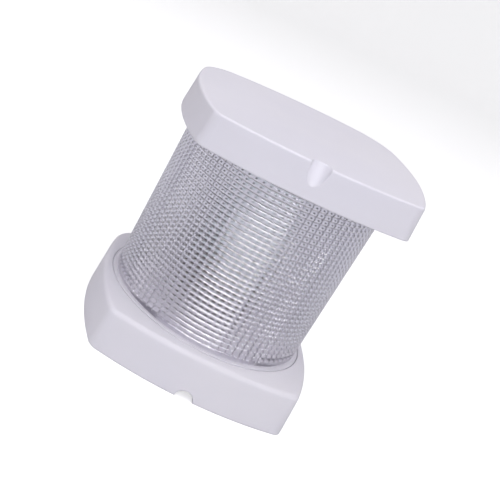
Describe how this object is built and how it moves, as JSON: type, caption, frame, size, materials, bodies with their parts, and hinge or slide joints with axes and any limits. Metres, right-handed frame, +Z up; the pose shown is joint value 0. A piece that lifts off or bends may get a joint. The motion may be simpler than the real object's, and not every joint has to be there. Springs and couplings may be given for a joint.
{
  "type": "all-round navigation light",
  "caption": "Boat navigation light: moulded base and cap with a clear ribbed cylindrical lens between them and a bayonet bulb inside, twist-off top.",
  "frame": {"origin": "centre of the mounting plane, on the lamp axis and midway between the two mounting holes", "axes": "+Z up along the lamp axis, from the mounting plane to the cap; -Y out of the flat front face that carries the notches; +X to the right when the front is seen"},
  "size_m": [0.101, 0.1035, 0.1115],
  "materials": {
    "white_shell": "smooth moulded white with a faint cool tint",
    "clear_lens": "clear moulded plastic, ribbed outside and fluted inside",
    "black_rubber": "matt moulded rubber",
    "white_silicone": "translucent white moulded silicone",
    "stainless": "stainless steel",
    "spring_steel": "drawn spring wire",
    "plated_brass": "nickel-plated brass",
    "bare_brass": "turned and drawn brass",
    "phenolic": "dark moulded insulator",
    "solder": "domed soft solder",
    "block_plastic": "moulded off-white insulator",
    "red_insulation": "extruded wire insulation",
    "black_insulation": "extruded wire insulation",
    "white_enamel": "white-enamelled aluminium sheet",
    "bulb_glass": "clear blown glass",
    "nickel_wire": "drawn nickel wire",
    "tungsten": "coiled dark grey wire"
  },
  "bodies": {
    "base": {"base_housing": "white_shell", "lens_seal": "white_silicone", "screw_washers": "black_rubber", "deck_grommet": "black_rubber", "socket_plate": "stainless", "deck_screws": "stainless", "socket_shell": "phenolic", "socket_insulator": "phenolic", "socket_terminals": "bare_brass", "plunger_springs": "spring_steel", "terminal_block": "block_plastic", "terminal_clamps": "bare_brass", "terminal_screws": "stainless", "wire_positive": "red_insulation", "wire_negative": "black_insulation"},
    "cap_unit": {"lens": "clear_lens", "cap_housing": "white_shell", "cap_seal": "black_rubber", "heat_shield": "white_enamel", "cap_screws": "stainless"},
    "bulb": {"bulb_glass": "bulb_glass", "bulb_cap": "plated_brass", "bulb_pins": "plated_brass", "bulb_insulator": "phenolic", "bulb_contacts": "solder", "bulb_stem": "bulb_glass", "filament_leads": "nickel_wire", "filament": "tungsten"},
    "contacts": {"contact_plungers": "bare_brass"}
  },
  "joints": [
    {"name": "cap_twist", "type": "hinge", "parent": "base", "child": "cap_unit", "pos_m": [0, 0, 0.0195], "axis": [0, 0, 1], "range_deg": [0, 30]},
    {"name": "bulb_twist", "type": "hinge", "parent": "base", "child": "bulb", "pos_m": [0, 0, 0.027], "axis": [0, 0, 1], "range_deg": [0, 20]},
    {"name": "contact_press", "type": "slide", "parent": "base", "child": "contacts", "axis": [0, 0, -1], "range_m": [0, 0.002], "stiffness_N_per_m": 900, "springref_m": -0.003, "deforming": ["plunger_springs"]}
  ]
}
